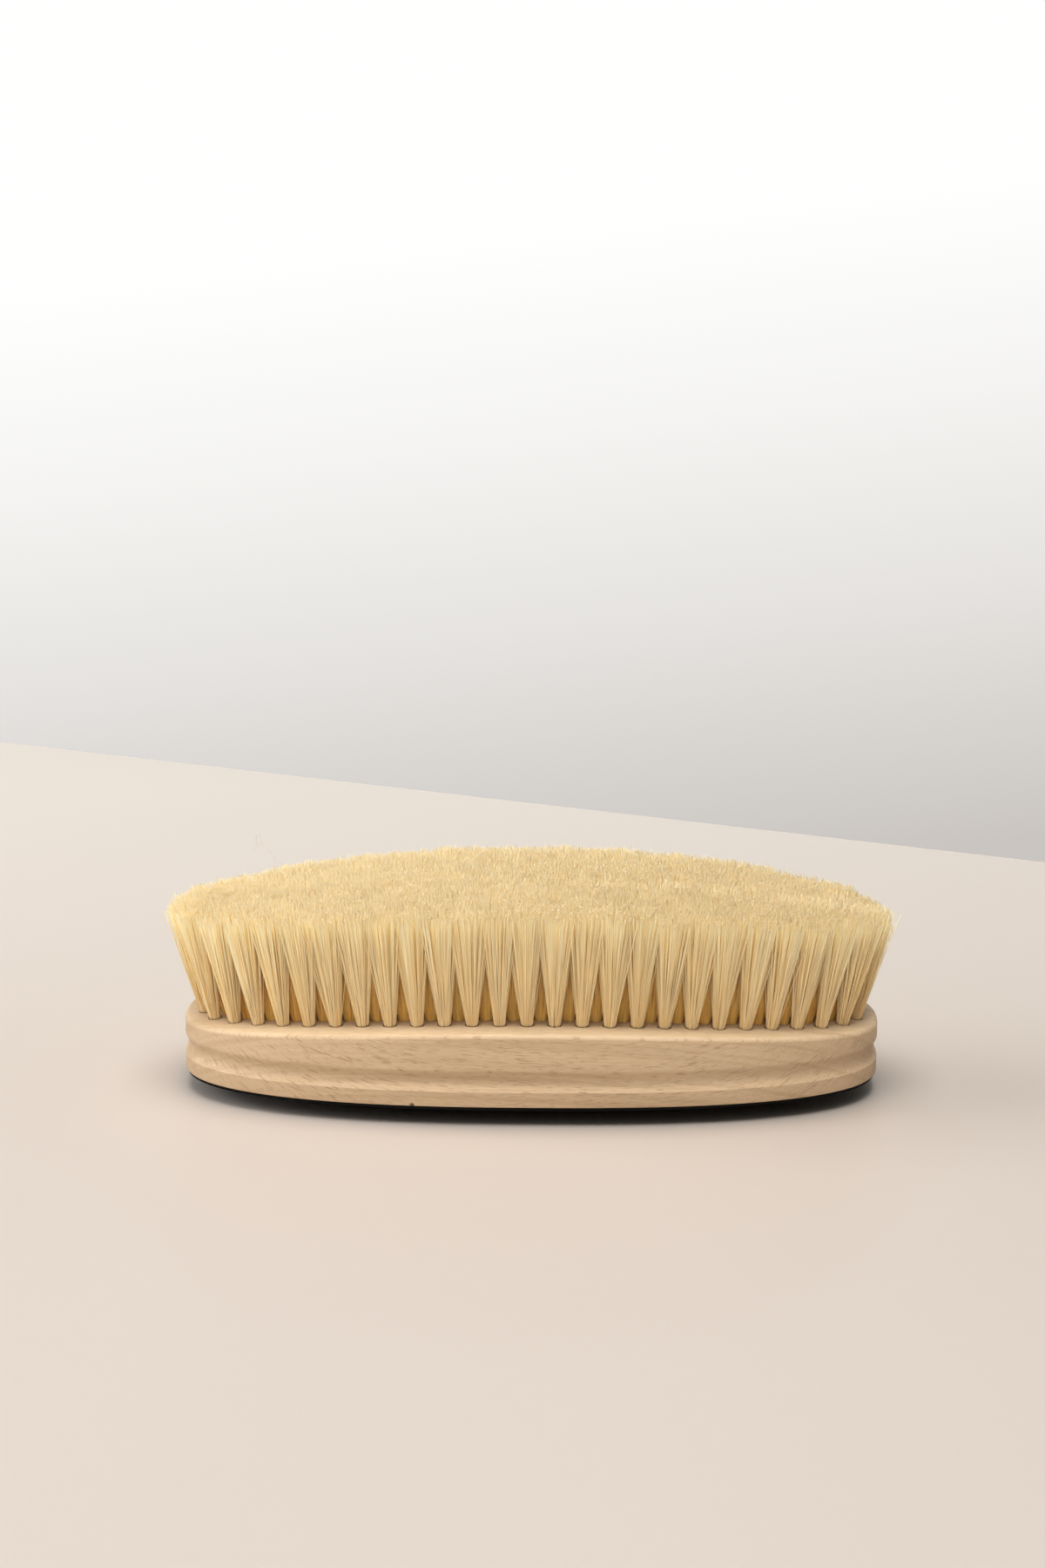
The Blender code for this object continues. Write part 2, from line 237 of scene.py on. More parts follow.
# Lamps that light everything, and fills that reach only the brush
LAMPS = [
    {"name": "over", "place": (0, -0.15, 1.7), "size": 1.0, "power": 20.0},
    {"name": "left_high", "place": (-1.3, 0.1, 1.1), "size": 1.0, "power": 4.0},
    {"name": "left_low", "place": (-1.5, 0.05, 0.5), "size": 0.8, "power": 9.0, "colour": (0.96, 1.0, 1.08)},
]
FILLS = [
    {"name": "front_fill", "place": (0, -1.6, 0.75), "size": 2.2, "power": 14.0},
    {"name": "front_left_fill", "place": (-1.0, -0.9, 1.2), "size": 2.0, "power": 10.8},
]

# The world's light by the square of the upward direction, and the room's colour where it is seen
SKY_TONES = [(0.0, (0.04, 0.04, 0.04)), (1.0, (1.0, 0.98, 0.94))]
SKY_STRENGTH = 0.36
ROOM_COLOUR = (0.78, 0.76, 0.74)

# Light passes between pale bristles many times before it leaves the brush
BOUNCES = 12


def link(item):
    bpy.context.scene.collection.objects.link(item)
    return item


def object_from_bmesh(name, shape):
    bmesh.ops.recalc_face_normals(shape, faces=shape.faces)
    mesh = bpy.data.meshes.new(name)
    shape.to_mesh(mesh)
    shape.free()
    return link(bpy.data.objects.new(name, mesh))


def smooth(item, sharp_angle):
    item.data.shade_smooth()
    item.data.set_sharp_from_angle(angle=sharp_angle)


def oval_point(half_length, half_width, power, angle):
    cosine = math.cos(angle)
    sine = math.sin(angle)
    x = half_length * math.copysign(abs(cosine) ** (2 / power), cosine)
    y = half_width * math.copysign(abs(sine) ** (2 / power), sine)
    return Vector((x, y, 0))


def oval_normal(half_length, half_width, power, point):
    x = math.copysign(abs(point.x / half_length) ** (power - 1), point.x) / half_length
    y = math.copysign(abs(point.y / half_width) ** (power - 1), point.y) / half_width
    return Vector((x, y, 0)).normalized()


def block_outline(inset):
    points = []
    for step in range(OUTLINE_POINTS):
        point = oval_point(HALF_LENGTH, HALF_WIDTH, OUTLINE_POWER, math.tau * step / OUTLINE_POINTS)
        normal = oval_normal(HALF_LENGTH, HALF_WIDTH, OUTLINE_POWER, point)
        points.append(point - inset * normal)
    return points


def face_height(x):
    share = x / HALF_LENGTH
    return FACE_TOP - FACE_DOME * share * share


def loft(name, sections):
    """Closed solid through rings of points, its top made of crosswise strips."""
    shape = bmesh.new()
    rings = [[shape.verts.new(point) for point in section] for section in sections]
    count = len(rings[0])
    for lower, upper in zip(rings, rings[1:]):
        for step in range(count):
            after = (step + 1) % count
            shape.faces.new((lower[step], lower[after], upper[after], upper[step]))
    shape.faces.new(reversed(rings[0]))
    top = rings[-1]
    half = count // 2
    shape.faces.new((top[0], top[1], top[count - 1]))
    for step in range(1, half - 1):
        shape.faces.new((top[step], top[step + 1], top[count - step - 1], top[count - step]))
    shape.faces.new((top[half - 1], top[half], top[half + 1]))
    return object_from_bmesh(name, shape)


def raised(ring, height):
    return [point + Vector((0, 0, height)) for point in ring]


def side_profile():
    """Insets and heights of the block's side, from its lower edge to the soft upper edge of the groove."""
    profile = []
    for step in range(EASING_STEPS + 1):
        angle = math.pi / 2 * step / EASING_STEPS
        inset = LOWER_EDGE_EASING * (1 - math.sin(angle))
        profile.append((inset, BASE + LOWER_EDGE_EASING * (1 - math.cos(angle))))
    half_chord = GROOVE_HEIGHT / 2
    radius = (half_chord ** 2 + GROOVE_DEPTH ** 2) / (2 * GROOVE_DEPTH)
    opening = math.asin(half_chord / radius)
    middle = BASE + LIP_HEIGHT + half_chord
    profile.append((0, BASE + LIP_HEIGHT - RIDGE_EASING))
    for step in range(GROOVE_STEPS + 1):
        angle = opening * (2 * step / GROOVE_STEPS - 1)
        inset = radius * math.cos(angle) - (radius - GROOVE_DEPTH)
        if angle > 0:
            inset = GROOVE_DEPTH * (1 + math.cos(math.pi * angle / opening)) / 2
        if step == 0:
            inset += RIDGE_EASING / 2
        profile.append((inset, middle + radius * math.sin(angle)))
    profile.append((0, BASE + LIP_HEIGHT + GROOVE_HEIGHT + RIDGE_EASING))
    return profile


def make_block(tufts):
    sections = [raised(block_outline(inset), height) for inset, height in side_profile()]
    for step in range(ROUNDING_STEPS + 1):
        angle = math.pi / 2 * step / ROUNDING_STEPS
        ring = block_outline(FACE_ROUNDING * (1 - math.cos(angle)))
        drop = FACE_ROUNDING * (1 - math.sin(angle))
        sections.append([point + Vector((0, 0, face_height(point.x) - drop)) for point in ring])
    block = loft("beech_block", sections)
    cut(block, make_nick_cutter())
    cut(block, make_recess_cutter())
    cut(block, make_hole_cutters(tufts))
    smooth(block, BLOCK_SMOOTH_ANGLE)
    return block


def cut(item, cutter):
    modifier = item.modifiers.new("cut", "BOOLEAN")
    modifier.operation = "DIFFERENCE"
    modifier.object = cutter
    modifier.solver = "EXACT"
    graph = bpy.context.evaluated_depsgraph_get()
    mesh = bpy.data.meshes.new_from_object(item.evaluated_get(graph))
    item.modifiers.remove(modifier)
    item.data = mesh
    bpy.data.objects.remove(cutter, do_unlink=True)


def make_recess_cutter():
    """Room for the drawing wires in the block's back."""
    half_length = (WIRE_HIGH.x - WIRE_LOW.x) / 2 + RECESS_REACH
    half_width = (WIRE_HIGH.y - WIRE_LOW.y) / 2 + RECESS_REACH
    angles = [math.tau * step / RECESS_POINTS for step in range(RECESS_POINTS)]
    outline = [oval_point(half_length, half_width, RING_POWER, angle) for angle in angles]
    sections = [raised(outline, BASE - OVERRUN), raised(outline, BASE + RECESS_DEPTH)]
    return loft("recess_cutter", sections)


def make_hole_cutters(tufts):
    shape = bmesh.new()
    for tuft in tufts:
        axis = tuft["direction"]
        middle = tuft["face"] + axis * (OVERRUN - HOLE_DEPTH) / 2
        matrix = axis.to_track_quat("Z", "Y").to_matrix().to_4x4()
        matrix.translation = middle
        bmesh.ops.create_cone(shape, cap_ends=True, segments=HOLE_SIDES, radius1=HOLE_RADIUS,
                              radius2=HOLE_RADIUS, depth=HOLE_DEPTH + OVERRUN, matrix=matrix)
    return object_from_bmesh("hole_cutters", shape)


def nick_place():
    """Middle of the nick, on the lip's lower edge at the front."""
    depth = HALF_WIDTH * (1 - abs(NICK_X / HALF_LENGTH) ** OUTLINE_POWER) ** (1 / OUTLINE_POWER)
    return Vector((NICK_X, -depth, BASE + NICK_RISE))


def make_nick_cutter():
    shape = bmesh.new()
    matrix = Matrix.Translation(nick_place()) @ Matrix.Diagonal((*NICK_SIZE, 1))
    bmesh.ops.create_icosphere(shape, subdivisions=2, radius=1, matrix=matrix)
    return object_from_bmesh("nick_cutter", shape)


def make_back():
    """Black lacquered back: a thin rim under the block's edge and a dome down to its flat land."""
    outline = block_outline(HALF_WIDTH - (BACK_HIGH.y - BACK_LOW.y) / 2)
    sections = []
    for step in range(DOME_STEPS + 1):
        rise = step / DOME_STEPS
        share = BACK_LAND_SHARE + (1 - BACK_LAND_SHARE) * rise
        height = (BACK_HIGH.z - BACK_RIM) * rise ** BACK_DOME_POWER
        sections.append([point * share + Vector((0, 0, height)) for point in outline])
    sections.append(raised(outline, BASE - BACK_SEAT_GAP))
    back = loft("lacquered_back", sections)
    smooth(back, BACK_SMOOTH_ANGLE)
    return back


def ring_path(number):
    half_length = RING_HALF_LENGTH - number * RING_GAP
    half_width = RING_HALF_WIDTH - number * RING_GAP
    angles = [math.tau * step / PATH_SAMPLES - math.pi / 2 for step in range(PATH_SAMPLES + 1)]
    return [oval_point(half_length, half_width, RING_POWER, angle) for angle in angles]


def spaced_along(path, count, first_share):
    travelled = [0.0]
    for near, far in zip(path, path[1:]):
        travelled.append(travelled[-1] + (far - near).length)
    total = travelled[-1]
    places = []
    for step in range(count):
        target = (step + first_share) / count * total % total
        index = next(i for i, distance in enumerate(travelled) if distance > target)
        near, far = path[index - 1], path[index]
        share = (target - travelled[index - 1]) / (travelled[index] - travelled[index - 1])
        places.append(near.lerp(far, share))
    return places


def path_length(path):
    return sum((far - near).length for near, far in zip(path, path[1:]))


def make_tuft(place, tangent):
    lean_x = math.tan(END_LEAN) * place.x / RING_HALF_LENGTH
    lean_y = math.tan(SIDE_LEAN) * place.y / RING_HALF_WIDTH
    direction = Vector((lean_x, lean_y, 1)).normalized()
    across = (tangent - direction * tangent.dot(direction)).normalized()
    face = Vector((place.x, place.y, face_height(place.x)))
    return {"face": face, "direction": direction, "across": across}


def ring_tufts(number):
    path = ring_path(number)
    count = 2 * round(path_length(path) / TUFT_PITCH / 2)
    places = spaced_along(path, count, FIRST_TUFT_SHARE + (number % 2) / 2)
    tufts = []
    for step, place in enumerate(places):
        tufts.append(make_tuft(place, places[(step + 1) % count] - places[step - 1]))
    return tufts


def centre_row_tufts():
    half_length = ROW_SHARE * (RING_HALF_LENGTH - (RING_COUNT - 1) * RING_GAP)
    count = round(2 * half_length / TUFT_PITCH) + 1
    along = Vector((1, 0, 0))
    places = [Vector((half_length * (2 * step / (count - 1) - 1), 0, 0)) for step in range(count)]
    return [make_tuft(place, along) for place in places]


def trim_height(x, y):
    """Height at which the bristles are trimmed: domed along the brush, flat across it, eased at the rim."""
    share = x / TRIM_REACH
    rim = np.abs(share) ** RING_POWER + np.abs(y / TRIM_SIDE_REACH) ** RING_POWER
    left_end = TRIM_LEFT_RISE * np.clip((-share - TRIM_LEFT_START) / (1 - TRIM_LEFT_START), 0, 1)
    fall = TRIM_FALL * share * share + TRIM_RIM_FALL * np.clip(rim, 0, TRIM_RIM_LIMIT) ** TRIM_RIM_POWER
    return TRIM_HEIGHT - fall + left_end


def tip_shifts(size, draw):
    """Sideways shifts of a tuft's hairs at their tips, none beyond two standard deviations."""
    return size * np.clip(draw.normal(0, 1, (HAIRS_IN_TUFT, 2)), -2, 2)


def hair_paths(tufts, stray_share, draw):
    """Centre lines of all hairs of some tufts: an array of hairs by sections by xyz."""
    shares = np.array(HAIR_STEPS)
    paths = []
    for tuft in tufts:
        face = np.array(tuft["face"])
        axis = np.array(tuft["direction"])
        across = np.array(tuft["across"])
        side = np.cross(axis, across)
        turn = draw.uniform(0, math.tau, HAIRS_IN_TUFT)
        number = np.arange(HAIRS_IN_TUFT) + draw.uniform(0, 1, HAIRS_IN_TUFT)
        spread = (number / HAIRS_IN_TUFT) ** SPREAD_POWER
        flat = np.stack([np.cos(turn) * spread, np.sin(turn) * spread], axis=1)
        stray = draw.uniform(0, 1, HAIRS_IN_TUFT) < stray_share
        curl = tip_shifts(CURL_AT_TIP, draw)
        lean = tip_shifts(LEAN_AT_TIP, draw)
        lean = lean + STRAY_AT_TIP * stray[:, None] * draw.uniform(-1, 1, (HAIRS_IN_TUFT, 2))
        length = np.full(HAIRS_IN_TUFT, TUFT_LENGTH)
        jitter = draw.normal(0, TRIM_JITTER, HAIRS_IN_TUFT) + draw.normal(0, TUFT_JITTER)
        for _ in range(TRIM_PASSES):
            rise = length / TUFT_LENGTH
            off = flat * (BUNDLE_RADIUS * (1 + FLARE_SHARE * rise ** FLARE_POWER))[:, None]
            off = off + lean * rise[:, None] + curl * (rise ** 2)[:, None]
            tip = face + axis * length[:, None] + across * off[:, :1] + side * off[:, 1:]
            wanted = trim_height(tip[:, 0], tip[:, 1]) + jitter
            length = length + (wanted - tip[:, 2]) / axis[2]
        along = -HAIR_ROOT + shares[None, :] * (length + HAIR_ROOT)[:, None]
        rise = np.clip(along / TUFT_LENGTH, 0, None)[:, :, None]
        off = flat[:, None, :] * BUNDLE_RADIUS * (1 + FLARE_SHARE * rise ** FLARE_POWER)
        off = off + lean[:, None, :] * rise + curl[:, None, :] * rise ** 2
        paths.append(face + axis * along[:, :, None] + across * off[:, :, :1] + side * off[:, :, 1:])
    return np.concatenate(paths)


def hair_points(paths, draw):
    """Corners of the three-sided hairs round their centre lines, one side of each turned to the outside."""
    hairs = len(paths)
    axis = paths[:, -1] - paths[:, 0]
    axis /= np.linalg.norm(axis, axis=1, keepdims=True)
    outward = paths[:, 0] / (RING_HALF_LENGTH ** 2, RING_HALF_WIDTH ** 2, math.inf)
    second = np.cross(axis, outward)
    second /= np.linalg.norm(second, axis=1, keepdims=True)
    first = np.cross(second, axis)
    turn = draw.uniform(-HAIR_TURN, HAIR_TURN, hairs)[:, None]
    angles = turn + (np.arange(HAIR_SIDES) + 0.5)[None, :] * math.tau / HAIR_SIDES
    ring = first[:, None, :] * np.cos(angles)[:, :, None] + second[:, None, :] * np.sin(angles)[:, :, None]
    taper = 1 - (1 - HAIR_TIP_SHARE) * np.array(HAIR_STEPS) ** 2
    width = HAIR_RADIUS * draw.uniform(*HAIR_RADIUS_SPREAD, hairs)
    radius = width[:, None] * taper[None, :]
    return paths[:, :, None, :] + ring[:, None, :, :] * radius[:, :, None, None]


def hair_faces(hairs, sections):
    """Vertices of the hairs' faces: four-sided ones along the sides, then a three-sided cap at each end."""
    start = (np.arange(hairs) * sections * HAIR_SIDES)[:, None, None]
    level = (np.arange(sections - 1) * HAIR_SIDES)[None, :, None]
    corner = np.arange(HAIR_SIDES)[None, None, :]
    after = (corner + 1) % HAIR_SIDES
    low = start + level
    high = low + HAIR_SIDES
    sides = np.stack([low + corner, low + after, high + after, high + corner], axis=-1).reshape(-1, 4)
    root = start[:, 0] + np.arange(HAIR_SIDES)[::-1][None, :]
    tip = start[:, 0] + (sections - 1) * HAIR_SIDES + np.arange(HAIR_SIDES)[None, :]
    return sides, np.concatenate([root, tip])


def hair_mesh(name, paths, draw):
    """One mesh of closed hairs, each with a shade of its own and its height along it."""
    hairs, sections, _ = paths.shape
    points = hair_points(paths, draw)
    sides, caps = hair_faces(hairs, sections)
    mesh = bpy.data.meshes.new(name)
    mesh.vertices.add(points.size // 3)
    mesh.vertices.foreach_set("co", points.reshape(-1).astype(np.float32))
    loops = np.concatenate([sides.reshape(-1), caps.reshape(-1)])
    mesh.loops.add(len(loops))
    mesh.loops.foreach_set("vertex_index", loops.astype(np.int32))
    starts = np.concatenate([np.arange(len(sides)) * 4, len(sides) * 4 + np.arange(len(caps)) * 3])
    mesh.polygons.add(len(starts))
    mesh.polygons.foreach_set("loop_start", starts.astype(np.int32))
    mesh.update(calc_edges=True)
    mesh.validate()
    mesh.shade_flat()
    set_hair_strips(mesh, hairs)
    shade = np.repeat(draw.uniform(0, 1, hairs), sections * HAIR_SIDES)
    height = np.tile(np.repeat(HAIR_STEPS, HAIR_SIDES), hairs)
    for label, values in (("hair_shade", shade), ("hair_height", height)):
        attribute = mesh.attributes.new(label, "FLOAT", "POINT")
        attribute.data.foreach_set("value", values.astype(np.float32))
    return link(bpy.data.objects.new(name, mesh))


def set_hair_strips(mesh, hairs):
    """Lay each hair's faces out in a cell of its own: its sides as strips, its two caps beside them."""
    columns = math.ceil(math.sqrt(hairs * STRIP_ASPECT))
    rows = math.ceil(hairs / columns)
    number = np.arange(hairs)
    corner = np.stack([number % columns / columns, number // columns / rows], axis=1)
    size = np.array([1 / columns, 1 / rows])
    shares = np.array(HAIR_STEPS)
    side = np.arange(HAIR_SIDES)
    left = side / (HAIR_SIDES + 1)
    right = (side + STRIP_FILL) / (HAIR_SIDES + 1)
    across = np.stack([left, right, right, left], axis=-1)
    low = shares[:-1, None]
    high = low + (shares[1:, None] - low) * STRIP_FILL
    along = np.stack([low, low, high, high], axis=-1)
    strip = np.stack(np.broadcast_arrays(across[None], along), axis=-1)
    places = corner[:, None, None, None, :] + strip[None] * STRIP_FILL * size
    start = HAIR_SIDES / (HAIR_SIDES + 1)
    cap = np.array([[start, CAP_LOW], [1.0, CAP_LOW], [start, CAP_HIGH]])
    caps = [corner[:, None, :] + (cap + (0, shift)) * STRIP_FILL * size for shift in (0, CAP_SHIFT)]
    values = np.concatenate([places.reshape(-1), *[part.reshape(-1) for part in caps]])
    layer = mesh.uv_layers.new(name="OFBake")
    layer.uv.foreach_set("vector", values.astype(np.float32))


class Nodes:
    """Small helper that adds shader nodes to a material or a world and links their sockets."""

    def __init__(self, owner):
        owner.use_nodes = True
        self.tree = owner.node_tree
        self.shader = self.tree.nodes.get("Principled BSDF")

    def add(self, kind, **values):
        node = self.tree.nodes.new(kind)
        for key, value in values.items():
            setattr(node, key, value)
        return node

    def link(self, source, target):
        self.tree.links.new(source, target)

    def feed(self, value, socket):
        """Give a socket a number or a colour, or link another node's socket to it."""
        if isinstance(value, (int, float)):
            socket.default_value = value
        elif isinstance(value, tuple):
            socket.default_value = (*value, 1)
        else:
            self.link(value, socket)

    def surface(self, colour, roughness, specular=0.5):
        """Feed the material's own shader."""
        self.feed(colour, self.shader.inputs["Base Color"])
        self.feed(roughness, self.shader.inputs["Roughness"])
        self.feed(specular, self.shader.inputs["Specular IOR Level"])

    def ramp(self, source, stops):
        node = self.add("ShaderNodeValToRGB")
        elements = node.color_ramp.elements
        while len(elements) < len(stops):
            elements.new(0.5)
        for element, (place, colour) in zip(elements, stops):
            element.position = place
            element.color = (*colour, 1)
        self.link(source, node.inputs["Fac"])
        return node.outputs["Color"]

    def greys(self, source, *stops):
        """Ramp through greys, each given by its place and its level."""
        return self.ramp(source, [(place, (level, level, level)) for place, level in stops])

    def mix(self, factor, first, second, blend="MIX"):
        node = self.add("ShaderNodeMix", data_type="RGBA", blend_type=blend)
        for value, socket in ((factor, node.inputs[0]), (first, node.inputs[6]), (second, node.inputs[7])):
            self.feed(value, socket)
        return node.outputs[2]

    def times(self, first, second):
        """Product of two colours."""
        return self.mix(1.0, first, second, "MULTIPLY")

    def math(self, operation, first, second):
        node = self.add("ShaderNodeMath", operation=operation)
        self.feed(first, node.inputs[0])
        self.feed(second, node.inputs[1])
        return node.outputs["Value"]

    def stretched(self, scale):
        """Object coordinates scaled along the three axes, in turns a metre."""
        where = self.add("ShaderNodeTexCoord")
        mapping = self.add("ShaderNodeMapping")
        mapping.inputs["Scale"].default_value = scale
        self.link(where.outputs["Object"], mapping.inputs["Vector"])
        return mapping.outputs["Vector"]

    def log_grain(self, sizes, place=None):
        """Coordinates along the log's fibre, outward and round, by a figure's size in metres."""
        mapping = self.add("ShaderNodeMapping", vector_type="TEXTURE")
        mapping.inputs["Rotation"].default_value = (GRAIN_TURN, GRAIN_SLOPE, 0)
        mapping.inputs["Scale"].default_value = sizes
        if place is None:
            place = self.add("ShaderNodeTexCoord").outputs["Object"]
        self.link(place, mapping.inputs["Vector"])
        return mapping.outputs["Vector"]

    def wall_place(self, middle, half_height, depth):
        """Object coordinates, with a groove's points moved straight out to the wall that it is cut in."""
        where = self.add("ShaderNodeTexCoord")
        height = self.add("ShaderNodeSeparateXYZ")
        self.link(where.outputs["Object"], height.inputs["Vector"])
        share = self.math("DIVIDE", self.math("SUBTRACT", height.outputs["Z"], middle), half_height)
        inset = self.math("MULTIPLY", self.math("SUBTRACT", 1.0, self.math("MULTIPLY", share, share)), depth)
        outward = self.add("ShaderNodeVectorMath", operation="MULTIPLY")
        outward.inputs[1].default_value = (1, 1, 0)
        self.link(where.outputs["Normal"], outward.inputs[0])
        unit = self.add("ShaderNodeVectorMath", operation="NORMALIZE")
        self.link(outward.outputs["Vector"], unit.inputs[0])
        step = self.add("ShaderNodeVectorMath", operation="SCALE")
        self.link(unit.outputs["Vector"], step.inputs[0])
        self.link(self.math("MAXIMUM", inset, 0.0), step.inputs["Scale"])
        moved = self.add("ShaderNodeVectorMath", operation="ADD")
        self.link(where.outputs["Object"], moved.inputs[0])
        self.link(step.outputs["Vector"], moved.inputs[1])
        return moved.outputs["Vector"]

    def noise(self, vector, detail=2.0, roughness=0.5, distortion=0.0):
        node = self.add("ShaderNodeTexNoise")
        node.inputs["Scale"].default_value = 1.0
        node.inputs["Detail"].default_value = detail
        node.inputs["Roughness"].default_value = roughness
        node.inputs["Distortion"].default_value = distortion
        self.link(vector, node.inputs["Vector"])
        return node.outputs["Fac"]

    def bump(self, height, strength):
        node = self.add("ShaderNodeBump")
        node.inputs["Distance"].default_value = BUMP_DISTANCE
        node.inputs["Strength"].default_value = strength
        self.link(height, node.inputs["Height"])
        self.link(node.outputs["Normal"], self.shader.inputs["Normal"])

    def shown_rays(self):
        """One for rays that show a background, from the camera or in a gloss, and nothing for the others."""
        path = self.add("ShaderNodeLightPath")
        seen = path.outputs["Is Camera Ray"]
        for ray in ("Is Glossy Ray", "Is Transmission Ray"):
            seen = self.math("MAXIMUM", seen, path.outputs[ray])
        return seen

    def choose(self, factor, first, second, output):
        """Send an output the first shader where the factor is nothing, and the second where it is one."""
        choice = self.add("ShaderNodeMixShader")
        self.link(factor, choice.inputs["Fac"])
        self.link(first, choice.inputs[1])
        self.link(second, choice.inputs[2])
        self.link(choice.outputs["Shader"], self.tree.nodes[output].inputs["Surface"])


def beech_material():
    """Pale beech: growth rings, fine fibre and dark ray flecks, laid in the log's own directions."""
    material = bpy.data.materials.new("beech")
    nodes = Nodes(material)
    wall = nodes.wall_place(BASE + LIP_HEIGHT + GROOVE_HEIGHT / 2, GROOVE_HEIGHT / 2, GROOVE_DEPTH)
    drift = nodes.noise(nodes.log_grain(DRIFT_SIZES))
    growth = nodes.noise(nodes.log_grain(GROWTH_SIZES), detail=3, roughness=0.55, distortion=0.15)
    broad = nodes.noise(nodes.log_grain(BROAD_SIZES))
    grain = nodes.noise(nodes.log_grain(GRAIN_SIZES, wall), detail=3, roughness=0.6)
    rays = nodes.noise(nodes.log_grain(RAY_SIZES, wall), detail=1.0, roughness=0.4, distortion=0.1)
    tone = nodes.ramp(broad, BEECH_TONES)
    tone = nodes.times(tone, nodes.ramp(growth, GROWTH_SHADES))
    tone = nodes.times(tone, nodes.ramp(grain, GRAIN_SHADES))
    strength = nodes.greys(drift, (0.35, 0.35), (0.65, 0.75))
    flecks = nodes.times(nodes.greys(rays, (0.60, 0), (0.65, 1)), strength)
    tone = nodes.mix(flecks, tone, RAY_COLOUR)
    where = nodes.add("ShaderNodeTexCoord")
    facing = nodes.add("ShaderNodeSeparateXYZ")
    nodes.link(where.outputs["Normal"], facing.inputs["Vector"])
    # Painted light: the wood is lighter where it faces up
    tone = nodes.times(tone, nodes.ramp(facing.outputs["Z"], PAINTED_TOP_LIGHT_SHADES))
    # The wood is coloured darker round the nick, fading out over its reach
    apart = nodes.add("ShaderNodeVectorMath", operation="DISTANCE")
    apart.inputs[1].default_value = nick_place()
    nodes.link(where.outputs["Object"], apart.inputs[0])
    share = nodes.math("DIVIDE", apart.outputs["Value"], NICK_DARK_REACH)
    tone = nodes.mix(nodes.greys(share, (0.35, 1), (0.75, 0)), tone, NICK_DARK_COLOUR)
    nodes.surface(tone, nodes.greys(grain, (0.3, 0.50), (0.7, 0.62)), 0.35)
    nodes.bump(grain, 0.5)
    return material


def lacquer_material():
    material = bpy.data.materials.new("black_lacquer")
    nodes = Nodes(material)
    ripple = nodes.noise(nodes.stretched(LACQUER_RIPPLE), detail=3)
    nodes.surface(nodes.ramp(ripple, LACQUER_TONES), nodes.greys(ripple, (0.3, 0.34), (0.7, 0.48)), 0.07)
    nodes.bump(ripple, 0.4)
    return material


def bristle_material(name, stops):
    """Cream bristle: a colour along each hair, a shade of its own and a slow drift between the hairs."""
    material = bpy.data.materials.new(name)
    nodes = Nodes(material)
    height = nodes.add("ShaderNodeAttribute", attribute_name="hair_height")
    shade = nodes.add("ShaderNodeAttribute", attribute_name="hair_shade")
    # The outer ring's stops paint each hair's foot dark, as painted shade in its hole
    along = nodes.ramp(height.outputs["Fac"], stops)
    own = nodes.ramp(shade.outputs["Fac"], HAIR_SHADES)
    clump = nodes.ramp(nodes.noise(nodes.stretched(CLUMP_RATE)), CLUMP_SHADES)
    nodes.surface(nodes.times(nodes.times(along, own), clump), 0.5, 0.35)
    return material


def fibre_material():
    material = bpy.data.materials.new("loose_hair")
    nodes = Nodes(material)
    shade = nodes.noise(nodes.stretched(FIBRE_RATE), detail=1)
    nodes.surface(nodes.ramp(shade, FIBRE_TONES), 0.5)
    return material


def steel_material():
    material = bpy.data.materials.new("steel_wire")
    nodes = Nodes(material)
    nodes.surface(nodes.ramp(nodes.noise(nodes.stretched(STEEL_RATE)), STEEL_TONES), 0.35)
    nodes.feed(1.0, nodes.shader.inputs["Metallic"])
    return material


def dress(item, material, slot, *nodes):
    """Give a piece its material and body, and hide the solids that it stands for; the slot is not used."""
    item.data.materials.clear()
    item.data.materials.append(material)
    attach(item, "root")
    if nodes:
        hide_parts(*nodes)


def make_loose_fibre():
    data = bpy.data.curves.new("loose_fibre", "CURVE")
    data.dimensions = "3D"
    data.bevel_depth = FIBRE_RADIUS
    data.bevel_resolution = 1
    data.use_fill_caps = True
    spline = data.splines.new("NURBS")
    spline.points.add(len(FIBRE_ROUTE) - 1)
    for point, (across, rise) in zip(spline.points, FIBRE_ROUTE):
        point.co = (*(Vector(FIBRE_ROOT) + Vector((across, 0, 0)) + rise * Vector(FIBRE_UP)), 1)
    spline.use_endpoint_u = True
    spline.order_u = 4
    spline.resolution_u = 4
    return link(bpy.data.objects.new("loose_fibre", data))


def make_brush():
    """All the brush's pieces, which are returned for the lamps that reach nothing else."""
    groups = {f"ring_{number + 1}": ring_tufts(number) for number in range(RING_COUNT)}
    groups["centre_row"] = centre_row_tufts()
    block = make_block([tuft for tufts in groups.values() for tuft in tufts])
    dress(block, beech_material(), "beech", "drilled_block")
    dress(make_back(), lacquer_material(), "black_lacquer", "back_cover")
    outer = bristle_material("cream_bristle", OUTER_TONES_AND_FOOT_SHADE)
    # Painted light: the deeper rings get the more golden copy, for the glow bounced between the tufts
    inner = bristle_material("cream_bristle_painted_glow", INNER_PAINTED_GLOW_TONES)
    steel = steel_material()
    dress(make_loose_fibre(), fibre_material(), "bristle")
    draw = np.random.default_rng(HAIR_SEED)
    for name, tufts in groups.items():
        material, strays = (outer, OUTER_STRAYS) if name == "ring_1" else (inner, INNER_STRAYS)
        hairs = hair_mesh(f"hairs_{name}", hair_paths(tufts, strays, draw), draw)
        dress(hairs, material, "bristle", f"tuft_{name}")
        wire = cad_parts[f"drawing_wire_{name}"]
        wire.data.materials.clear()
        wire.data.materials.append(steel)
    return [item for item in bpy.context.scene.objects if item.type in ("MESH", "CURVE")]


